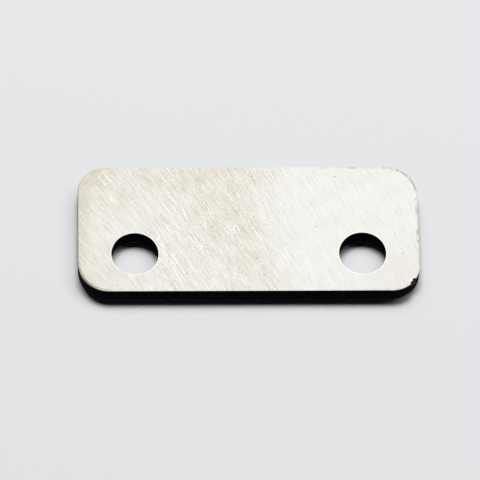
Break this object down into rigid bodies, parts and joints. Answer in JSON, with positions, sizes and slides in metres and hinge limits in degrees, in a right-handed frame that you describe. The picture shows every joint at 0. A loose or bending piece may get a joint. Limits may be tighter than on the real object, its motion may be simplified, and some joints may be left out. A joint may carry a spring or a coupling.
{
  "type": "lamp subplate",
  "caption": "Flat steel backing plate for a lamp, with rounded corners, bolt holes near one long edge, a linished face, black cut edges and a chipped corner.",
  "frame": {"origin": "centre of the plate's box at its back face, the face it lies on", "axes": "+X along the row of holes, +Y from the front edge beside the holes to the back edge, +Z out of the linished face"},
  "size_m": [0.06, 0.025, 0.003],
  "materials": {
    "plate_steel": "linished face, blackened cut edges"
  },
  "bodies": {
    "root": {"subplate": "plate_steel"}
  },
  "joints": []
}
